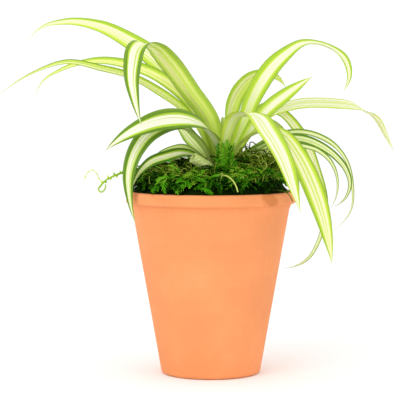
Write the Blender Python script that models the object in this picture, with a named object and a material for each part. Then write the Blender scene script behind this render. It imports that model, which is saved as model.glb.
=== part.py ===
"""A spider plant (Chlorophytum comosum) growing in a plain terracotta pot.

The pot stands on the plane z = 0 with its axis on z, and the viewer's side is -Y.
The pot holds soil, a bed of moss covers the soil, and the plant's crown comes up
through the moss. Every leaf is a strap folded along its midrib, and is a body of
its own that starts just off the crown.
"""

import math

import bmesh
import bpy
import numpy as np

MM = 0.001
GAP = 0.3  # millimetres left between neighbouring pieces

# Pot, in millimetres
POT_HEIGHT = 129.0
BASE_RADIUS = 35.0
WALL_TOP_RADIUS = 56.4
RIM_RADIUS = 60.0
RIM_HEIGHT = 8.3
WALL_THICKNESS = 3.6
FLOOR_THICKNESS = 6.0
DRAIN_RADIUS = 6.5
POT_STEPS = 64

# Soil, moss and crown, in millimetres
SOIL_TOP = 118.0
MOSS_TOP = 144.5
MOSS_EDGE_TOP = 130.5
CROWN_CENTRE = (7.0, 0.0)
CROWN_RADIUS = 6.5
CROWN_TOP = 150.0

# Leaves, in millimetres and degrees
LEAF_SECTIONS = 15
MIDRIB_THICKNESS = 0.9
EDGE_THICKNESS = 0.5
TIP_HALF_WIDTH = 0.35
BASE_WIDTH_SHARE = 0.45
FOLD_AT_BASE = 45.0
FOLD_AT_MIDDLE = 15.0

# Each leaf: its greatest width, how far its blade is rolled about the midrib at
# even steps from base to tip, and the points that its midrib passes through.
LEAVES = {
    "leaf_top_left": {
        "width": 16.5, "roll": (-50, -65, -60, -60, -50), "belly": 0.36, "taper": 1.25,
        "midrib": [(3, 9, 153), (-3, 14, 175), (-13, 20, 195), (-33, 28, 217), (-57, 38, 235),
                   (-81, 47, 247), (-107, 56, 251), (-127, 60, 246), (-135, 61, 238)]},
    "leaf_folded": {
        "width": 16.8, "roll": (50, 50, 50, 50, 42, 12, 0, 0, 0), "belly": 0.5, "taper": 2,
        "midrib": [(3.2, -2, 152), (-1, -4.5, 177), (-15.5, -9, 199), (-30, -18, 219),
                   (-39.5, -29, 229), (-46, -37, 231), (-50.5, -44, 226.5), (-52.5, -49.5, 217.5),
                   (-53, -54, 207), (-51, -58, 194), (-46.5, -62, 176.5)]},
    "leaf_far_left": {
        "width": 9, "roll": (-50, -50, -55, -70, -40), "belly": 0.3, "taper": 1,
        "midrib": [(-1, -1, 151), (-8, -3, 171), (-19, -7, 185), (-37, -14, 199), (-55, -20, 209),
                   (-76, -27, 215), (-99, -33, 219), (-120, -38, 212), (-143, -41, 197)]},
    "leaf_mid_left": {
        "width": 13.5, "roll": (-40, -55, -50, -60, -60), "belly": 0.28, "taper": 1,
        "midrib": [(1, 4, 152), (-6, 6, 175), (-15, 8, 192), (-33, 13, 207), (-58, 20, 218),
                   (-87, 28, 221), (-109, 33, 215), (-123, 36, 206), (-128, 37, 195)]},
    "leaf_striped_left": {
        "width": 18, "roll": (0, -40, -75, -88, -80),
        "midrib": [(6, -9, 151), (2, -17, 165), (-5, -24, 174), (-17, -30, 179), (-33, -36, 179),
                   (-51, -41, 173), (-71, -49, 159)]},
    "leaf_rim_left": {
        "width": 13.5, "roll": (0, -30, -70, -65, -55),
        "midrib": [(-1, -7, 149), (-6, -12, 161), (-16, -18, 172), (-28, -24, 175),
                   (-42, -29, 170), (-51, -32, 159), (-56, -34, 144), (-56, -34, 128),
                   (-52, -34, 109)]},
    "leaf_low_left": {
        "width": 10.5, "roll": (-10, -35, -60, -60),
        "midrib": [(-1, -11, 147), (-9, -16, 153), (-20, -21, 156), (-31, -25, 154),
                   (-42, -28, 150), (-50, -29, 142), (-54, -29, 133)]},
    "leaf_low_left_behind": {
        "width": 7, "roll": (0, -30, -50, -50),
        "midrib": [(-3, 3, 149), (-11, 3, 156), (-20, 4, 160), (-30, 6, 158), (-39, 8, 153),
                   (-45, 9, 145)]},
    "leaf_pale_left": {
        "width": 9, "roll": (-30, -30, -30, -30),
        "midrib": [(-1, 8, 151), (-8, 18, 157), (-15, 31, 164), (-21, 46, 171), (-27, 60, 176)]},
    "leaf_centre_arch": {
        "width": 15, "roll": (60, 60, 60, 60),
        "midrib": [(10, 11, 153), (12, 20, 173), (15, 30, 189), (21, 38, 201), (29, 44, 209),
                   (38, 48, 212), (47, 50, 211), (55, 50, 203)]},
    "leaf_top_right": {
        "width": 14, "roll": (50, 60, 60, 55, 35, 8, 2, 60, 85), "taper": 2.6,
        "midrib": [(14, 6, 153), (22, 10, 173), (29, 15, 192), (40, 21, 211), (52, 26, 224),
                   (68, 31, 234), (85, 36, 232), (98, 39, 222), (101, 40, 210), (97, 40, 200)]},
    "leaf_pointed": {
        "width": 13, "roll": (55, 65, 65), "belly": 0.5, "taper": 2.4,
        "midrib": [(18, -1, 154), (28, -4, 171), (40, -8, 186), (52, -11, 196), (70, -16, 209)]},
    "leaf_pale_right": {
        "width": 8, "roll": (60, 60, 62, 66, 70, 75, 78, 80, 0, -55, -60), "taper": 4,
        "midrib": [(18, 10, 153), (29, 22, 171), (42, 36, 183), (59, 54, 189), (87, 80, 191),
                   (117, 98, 186), (128, 104, 179), (136, 107, 166), (142, 109, 154)]},
    "leaf_back_right": {
        "width": 10.5, "roll": (50, 60, 60, 60, 60),
        "midrib": [(17, 16, 153), (28, 38, 175), (41, 52, 187), (51, 58, 184), (67, 62, 167),
                   (79, 62, 141), (85, 60, 111), (81, 55, 91), (71, 50, 75), (55, 47, 69)]},
    "leaf_front_arch": {
        "width": 20, "roll": (20, 0, 0, 0), "belly": 0.5,
        "midrib": [(10.5, -14, 150), (12.8, -20, 167), (18, -28, 180), (29, -44, 182),
                   (37, -62, 172), (46, -80, 156), (52, -96, 139), (57, -108, 121)]},
    "leaf_front_drop": {
        "width": 16.5, "roll": (20, 20, 10, 10), "belly": 0.6, "taper": 2,
        "midrib": [(14, -7.5, 151), (23, -13, 165), (37, -23, 172), (48, -38, 168.5),
                   (57.5, -50, 156), (66, -61, 138), (73, -69, 118), (80, -75, 85)]},
    "leaf_outer_right": {
        "width": 6, "roll": (40, 40, 50, 50, 50),
        "midrib": [(19, 7, 151), (33, 13, 160), (50, 20, 168), (64, 25, 170), (78, 29, 167),
                   (90, 32, 160), (99, 33, 148), (103, 33, 132), (102, 32, 113), (90, 30, 99)]},
    "leaf_middle_right": {
        "width": 9, "roll": (40, 45, 60, 60),
        "midrib": [(19, 3, 151), (35, 5, 159), (51, 8, 165), (65, 12, 165), (79, 16, 160),
                   (90, 19, 152), (97, 20, 143), (100, 20, 133), (97, 19, 123), (89, 17, 117)]},
    "leaf_inner_right": {
        "width": 5.5, "roll": (30, 40, 50, 50),
        "midrib": [(18, -4, 150), (33, -5, 157), (49, -5, 162), (63, -4, 161), (76, -3, 157),
                   (84, -3, 150), (89, -3, 138), (89, -4, 128), (85, -6, 118)]},
    "leaf_rear_centre": {
        "width": 13, "roll": (0, 0, 0),
        "midrib": [(9, 17, 152), (12, 34, 168), (15, 58, 178), (14, 84, 176), (13, 101, 159),
                   (11, 108, 131), (10, 109, 96)]},
    "leaf_rear_middle": {
        "width": 11, "roll": (0, 0, 0),
        "midrib": [(3, 14, 151), (2, 30, 161), (2, 50, 167), (3, 72, 162), (0, 86, 144),
                   (-1, 90, 117), (-2, 88, 93)]},
    "leaf_rear_left": {
        "width": 9, "roll": (0, 0, 0),
        "midrib": [(-3, 10, 147), (-8, 24, 151), (-15, 40, 153), (-26, 56, 147), (-33, 66, 130),
                   (-36, 70, 107), (-37, 68, 84)]},
    "leaf_rear_low_right": {
        "width": 10, "roll": (0, 0, 0),
        "midrib": [(19, 13, 149), (30, 27, 154), (39, 42, 156), (44.5, 58, 147), (46, 68, 127),
                   (45.5, 71, 107), (44, 69, 84)]},
    "leaf_rear_right": {
        "width": 12, "roll": (0, 0, 0),
        "midrib": [(13, 20, 153), (21, 40, 168), (37, 58, 178), (49, 76, 173), (59, 88, 154),
                   (66, 93, 131), (68, 94, 114)]},
}

# Small things that grow out of the moss: radius along the strand and its points
STRANDS = {
    "moss_sprig": {
        "radius": (2.2, 4.5, 5.0, 3.0, 0.8), "flatten": 0.6,
        "points": [(9, -28, 145.5), (10, -28, 151), (11, -27, 158), (9, -27, 163)]},
    "moss_tendril": {
        "radius": (0.9, 0.8, 0.7, 0.5), "flatten": 1.0,
        "points": [(-51, -2, 139), (-58, -4, 141.5), (-65, -7, 140), (-71, -9, 136),
                   (-76, -10, 131), (-80, -10, 137), (-84, -10, 141)]},
    "seedling_stalk": {
        "radius": (0.8, 0.8, 0.7, 0.5), "flatten": 1.0,
        "points": [(6, -44, 139.5), (9, -49, 142), (13, -54, 140.5), (16, -58, 137),
                   (18, -60.5, 131.5)]},
}
STUB_POINTS = [(-2, -16, 146.6), (-7, -19.5, 147.8), (-13, -23, 149.4)]
STUB_RADIUS = 3.3


def material(name, colour, roughness):
    """A plain Principled material; the colour is linear red, green and blue."""
    made = bpy.data.materials.new(name)
    made.use_nodes = True
    shader = made.node_tree.nodes["Principled BSDF"]
    shader.inputs["Base Color"].default_value = (*colour, 1.0)
    shader.inputs["Roughness"].default_value = roughness
    shader.inputs["Metallic"].default_value = 0.0
    made.diffuse_color = (*colour, 1.0)
    return made


def add_object(name, points, faces, made_of, sharp_angle=35.0):
    """Make one closed mesh object from points in millimetres."""
    mesh = bpy.data.meshes.new(name)
    mesh.from_pydata([tuple(c * MM for c in point) for point in points], [], faces)
    edit = bmesh.new()
    edit.from_mesh(mesh)
    bmesh.ops.recalc_face_normals(edit, faces=edit.faces)
    edit.to_mesh(mesh)
    edit.free()
    mesh.shade_smooth()
    mesh.set_sharp_from_angle(angle=math.radians(sharp_angle))
    mesh.materials.append(made_of)
    item = bpy.data.objects.new(name, mesh)
    bpy.context.scene.collection.objects.link(item)
    return item


def loft(rings, closed=False):
    """Faces that join rings of equal count; closed joins the last to the first."""
    count = len(rings[0])
    points = [point for ring in rings for point in ring]
    faces = []
    last = len(rings) if closed else len(rings) - 1
    for row in range(last):
        here = row * count
        there = ((row + 1) % len(rings)) * count
        for col in range(count):
            turn = (col + 1) % count
            faces.append((here + col, here + turn, there + turn, there + col))
    if not closed:
        top = (len(rings) - 1) * count
        faces.append(tuple(range(count)))
        faces.append(tuple(top + col for col in reversed(range(count))))
    return points, faces


def circle(radius, height, steps, centre=(0.0, 0.0)):
    """Points of a level circle."""
    angles = [2.0 * math.pi * step / steps for step in range(steps)]
    return [(centre[0] + radius * math.cos(a), centre[1] + radius * math.sin(a), height)
            for a in angles]


def smooth_curve(points, count):
    """Evenly spaced points on a smooth curve through the given ones."""
    knots = np.array(points, dtype=float)
    lengths = np.linalg.norm(np.diff(knots, axis=0), axis=1)
    stations = np.concatenate([[0.0], np.cumsum(lengths)])
    slopes = np.diff(knots, axis=0) / lengths[:, None]
    tangents = np.zeros_like(knots)
    for k in range(1, len(knots) - 1):
        before, after = lengths[k - 1], lengths[k]
        tangents[k] = (slopes[k - 1] * after + slopes[k] * before) / (before + after)
    tangents[0] = 2.0 * slopes[0] - tangents[1]
    tangents[-1] = 2.0 * slopes[-1] - tangents[-2]
    fine = []
    for where in np.linspace(0.0, stations[-1], 300):
        k = int(np.clip(np.searchsorted(stations, where) - 1, 0, len(knots) - 2))
        span = lengths[k]
        s = (where - stations[k]) / span
        fine.append((2 * s**3 - 3 * s**2 + 1) * knots[k]
                    + (s**3 - 2 * s**2 + s) * span * tangents[k]
                    + (3 * s**2 - 2 * s**3) * knots[k + 1]
                    + (s**3 - s**2) * span * tangents[k + 1])
    fine = np.array(fine)
    run = np.concatenate([[0.0], np.cumsum(np.linalg.norm(np.diff(fine, axis=0), axis=1))])
    even = np.linspace(0.0, run[-1], count)
    return np.stack([np.interp(even, run, fine[:, axis]) for axis in range(3)], axis=1)


def unit(vector):
    return vector / np.linalg.norm(vector)


def blade_frames(midrib, roll):
    """The blade's upward and sideways directions along the midrib."""
    count = len(midrib)
    along = np.gradient(midrib, axis=0)
    along /= np.linalg.norm(along, axis=1)[:, None]
    outward = unit((midrib[count // 4] - midrib[0])[:2])
    facing = np.zeros_like(along)
    start = np.array([-outward[0], -outward[1], 0.3])
    facing[0] = unit(start - along[0] * (start @ along[0]))
    for k in range(1, count):
        facing[k] = unit(facing[k - 1] - along[k] * (facing[k - 1] @ along[k]))
    steps = np.linspace(0.0, 1.0, count)
    angle = np.radians(np.interp(steps, np.linspace(0.0, 1.0, len(roll)), roll))[:, None]
    upward = facing * np.cos(angle) + np.cross(along, facing) * np.sin(angle)
    return upward, np.cross(along, upward)


def half_widths(steps, width, belly, taper):
    """Half the blade's width: it swells from the base to the belly, then tapers."""
    rise = np.clip(steps / belly, 0.0, 1.0)
    swell = BASE_WIDTH_SHARE + (1.0 - BASE_WIDTH_SHARE) * rise * rise * (3.0 - 2.0 * rise)
    fall = 1.0 - np.clip((steps - belly) / (1.0 - belly), 0.0, 1.0) ** taper
    shape = np.where(steps < belly, swell, fall)
    return np.maximum(width / 2.0 * shape, TIP_HALF_WIDTH)


def make_leaf(name, leaf, made_of):
    """A strap of V-shaped sections, thickest along the midrib."""
    midrib = smooth_curve(leaf["midrib"], LEAF_SECTIONS)
    upward, sideways = blade_frames(midrib, leaf["roll"])
    steps = np.linspace(0.0, 1.0, LEAF_SECTIONS)
    half = half_widths(steps, leaf["width"], leaf.get("belly", 0.4), leaf.get("taper", 1.8))
    opening = np.clip(steps / 0.5, 0.0, 1.0)
    fold = np.radians(FOLD_AT_BASE + (FOLD_AT_MIDDLE - FOLD_AT_BASE) * opening)
    thinning = 1.0 - 0.5 * np.clip((steps - 0.8) / 0.2, 0.0, 1.0)
    rings = []
    for k in range(LEAF_SECTIONS):
        reach = sideways[k] * half[k] * math.cos(fold[k])
        lift = upward[k] * half[k] * math.sin(fold[k])
        edge = upward[k] * EDGE_THICKNESS * thinning[k]
        rib = upward[k] * MIDRIB_THICKNESS * thinning[k]
        centre = midrib[k]
        rings.append([centre - reach + lift, centre, centre + reach + lift,
                      centre + reach + lift - edge, centre - rib, centre - reach + lift - edge])
    points, faces = loft(rings)
    last = (LEAF_SECTIONS - 1) * 6
    faces = faces[:-2]
    faces += [(0, 1, 4, 5), (1, 2, 3, 4)]
    faces += [(last, last + 5, last + 4, last + 1), (last + 1, last + 4, last + 3, last + 2)]
    return add_object(name, points, faces, made_of)


def make_strand(name, radii, points, made_of, sections=9, sides=6, flatten=1.0):
    """A round or flattened strand whose radius changes along its length."""
    centre = smooth_curve(points, sections)
    upward, sideways = blade_frames(centre, (0.0, 0.0))
    steps = np.linspace(0.0, 1.0, sections)
    radius = np.interp(steps, np.linspace(0.0, 1.0, len(radii)), radii)
    rings = []
    for k in range(sections):
        ring = []
        for side in range(sides):
            angle = 2.0 * math.pi * side / sides
            ring.append(centre[k] + sideways[k] * radius[k] * math.cos(angle)
                        + upward[k] * radius[k] * flatten * math.sin(angle))
        rings.append(ring)
    points, faces = loft(rings)
    return add_object(name, points, faces, made_of)


def wall_radius(height):
    """Outer radius of the pot's wall, which widens evenly from base to rim."""
    rim_underside = POT_HEIGHT - RIM_HEIGHT
    return BASE_RADIUS + (WALL_TOP_RADIUS - BASE_RADIUS) * height / rim_underside


def make_pot(made_of):
    """Turn the pot's closed outline; the drain hole makes it one open ring."""
    rim_underside = POT_HEIGHT - RIM_HEIGHT
    inner_floor = wall_radius(FLOOR_THICKNESS) - WALL_THICKNESS
    inner_top = RIM_RADIUS - 0.7 - WALL_THICKNESS - 0.8
    outline = [
        (DRAIN_RADIUS + 0.8, 0.0),
        (BASE_RADIUS - 1.6, 0.0),
        (BASE_RADIUS - 0.5, 0.4),
        (wall_radius(1.6), 1.6),
        (wall_radius(rim_underside - 4.0), rim_underside - 4.0),
        (WALL_TOP_RADIUS + 0.6, rim_underside - 0.6),
        (RIM_RADIUS - 0.9, rim_underside),
        (RIM_RADIUS, rim_underside + 0.9),
        (RIM_RADIUS - 0.3, POT_HEIGHT - 2.0),
        (RIM_RADIUS - 0.9, POT_HEIGHT - 0.5),
        (RIM_RADIUS - 2.2, POT_HEIGHT),
        (inner_top + 1.4, POT_HEIGHT),
        (inner_top + 0.3, POT_HEIGHT - 0.5),
        (inner_top, POT_HEIGHT - 1.6),
        (wall_radius(rim_underside - 6.0) - WALL_THICKNESS, rim_underside - 6.0),
        (inner_floor, FLOOR_THICKNESS + 1.5),
        (inner_floor - 1.5, FLOOR_THICKNESS),
        (DRAIN_RADIUS, FLOOR_THICKNESS),
        (DRAIN_RADIUS, 0.8),
    ]
    rings = [circle(radius, height, POT_STEPS) for radius, height in outline]
    points, faces = loft(rings, closed=True)
    return add_object("pot", points, faces, made_of, sharp_angle=50.0)


def make_soil(made_of):
    """The root ball's soil, which fills the pot from its floor to below the rim."""
    floor = FLOOR_THICKNESS + GAP
    rim_underside = POT_HEIGHT - RIM_HEIGHT
    low = wall_radius(floor + 2.0) - WALL_THICKNESS - 2.0 * GAP
    high = wall_radius(rim_underside - 6.0) - WALL_THICKNESS - 2.0 * GAP
    outline = [(low - 2.0, floor), (low, floor + 2.0), (high, rim_underside - 6.0),
               (high, SOIL_TOP - 1.0), (high - 1.5, SOIL_TOP)]
    rings = [circle(radius, height, 32) for radius, height in outline]
    points, faces = loft(rings)
    return add_object("soil", points, faces, made_of)


def make_moss_bed(made_of):
    """A lumpy ring of moss that lies on the soil and leaves the crown free."""
    hole = CROWN_RADIUS + 2.0 * GAP
    bottom = SOIL_TOP + GAP
    # share of the way from the crown's hole to the edge, and height there
    edge = 51.4
    outline = [(0.0, bottom, 0.0), (1.0, bottom, -0.5), (1.0, 124.0, 0.0),
               (1.0, MOSS_EDGE_TOP, 2.2), (0.93, 135.5, 0.0), (0.80, 139.5, 0.0),
               (0.60, 142.5, 0.0), (0.36, MOSS_TOP, 0.0), (0.14, MOSS_TOP - 0.3, 0.0),
               (0.0, MOSS_TOP - 1.5, 0.0)]
    steps = 36
    rings = []
    for share, height, flare in outline:
        ring = []
        on_top = height > MOSS_EDGE_TOP
        for step in range(steps):
            angle = 2.0 * math.pi * step / steps
            radius = hole + (edge + flare - hole) * share
            x = CROWN_CENTRE[0] * (1.0 - share) + radius * math.cos(angle)
            y = CROWN_CENTRE[1] * (1.0 - share) + radius * math.sin(angle)
            lump = math.sin(3.0 * angle + 9.0 * share) + math.sin(7.0 * angle - 5.0 * share)
            ring.append((x, y, height + (0.5 * lump if on_top and share > 0.2 else 0.0)))
        rings.append(ring)
    points, faces = loft(rings, closed=True)
    return add_object("moss_bed", points, faces, made_of)


def make_crown(made_of):
    """The short rootstock that the leaves grow from, standing on the soil."""
    outline = [(CROWN_RADIUS - 1.0, SOIL_TOP + GAP), (CROWN_RADIUS, SOIL_TOP + 3.0),
               (CROWN_RADIUS - 0.3, 140.0), (CROWN_RADIUS - 1.5, CROWN_TOP - 2.0),
               (CROWN_RADIUS - 3.5, CROWN_TOP)]
    rings = [circle(radius, height, 20, CROWN_CENTRE) for radius, height in outline]
    points, faces = loft(rings)
    return add_object("crown", points, faces, made_of)


def main():
    for item in list(bpy.data.objects):
        bpy.data.objects.remove(item)

    terracotta = material("terracotta", (1.0, 0.371, 0.133), 0.8)
    earth = material("potting_soil", (0.030, 0.018, 0.010), 0.95)
    moss = material("moss", (0.040, 0.120, 0.010), 0.9)
    pale_stem = material("pale_stem", (0.420, 0.520, 0.200), 0.5)
    leaf_green = material("leaf_green", (0.330, 0.560, 0.090), 0.4)

    make_pot(terracotta)
    make_soil(earth)
    make_moss_bed(moss)
    make_crown(pale_stem)
    for name, leaf in LEAVES.items():
        make_leaf(name, leaf, leaf_green)
    stub_radii = (STUB_RADIUS * 0.8, STUB_RADIUS, STUB_RADIUS)
    make_strand("cut_leaf_stub", stub_radii, STUB_POINTS, pale_stem, sections=5, sides=10,
                flatten=0.7)
    for name, strand in STRANDS.items():
        made_of = pale_stem if name == "seedling_stalk" else moss
        make_strand(name, strand["radius"], strand["points"], made_of, flatten=strand["flatten"])


main()
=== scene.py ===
"""Potted spider plant: the finished looks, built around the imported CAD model.

Lengths are in millimetres, except on the stage, and places are in the CAD's own frame:
z = 0 is the surface that the pot stands on, and the viewer's side is -Y.
"""

import math

import bpy
import numpy as np
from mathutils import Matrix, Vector, noise


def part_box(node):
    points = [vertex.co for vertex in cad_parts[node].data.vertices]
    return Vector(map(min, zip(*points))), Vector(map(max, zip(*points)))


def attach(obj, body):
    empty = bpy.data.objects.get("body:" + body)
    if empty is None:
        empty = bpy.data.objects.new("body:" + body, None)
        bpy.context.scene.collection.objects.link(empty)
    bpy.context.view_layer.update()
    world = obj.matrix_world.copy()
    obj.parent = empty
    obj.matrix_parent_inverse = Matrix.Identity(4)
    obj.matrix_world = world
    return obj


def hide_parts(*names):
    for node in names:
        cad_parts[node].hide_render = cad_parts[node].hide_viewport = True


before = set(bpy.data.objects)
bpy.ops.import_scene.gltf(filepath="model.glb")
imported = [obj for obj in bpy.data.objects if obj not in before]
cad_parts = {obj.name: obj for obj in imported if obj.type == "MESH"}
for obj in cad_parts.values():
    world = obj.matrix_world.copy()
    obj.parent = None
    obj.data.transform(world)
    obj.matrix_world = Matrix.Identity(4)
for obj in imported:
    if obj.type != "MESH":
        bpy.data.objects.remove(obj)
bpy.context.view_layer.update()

bl_info = {
    "name": "Potted Spider Plant",
    "version": (1, 0, 0),
    "blender": (4, 5, 0),
    "location": "View3D > Sidebar > Spider Plant",
    "description": "Builds a spider plant's leaves, moss and pot finish on its CAD frame",
    "category": "Add Mesh",
}

MM = 0.001

# Driving sizes that come from the CAD frame, in millimetres
POT_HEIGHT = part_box("pot")[1].z / MM
RIM_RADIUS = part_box("pot")[1].x / MM
MOSS_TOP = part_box("moss_bed")[1].z / MM
MOSS_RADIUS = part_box("moss_bed")[1].x / MM
INNER_RADIUS = 54.6  # of the pot's mouth, as its CAD source has it

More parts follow.
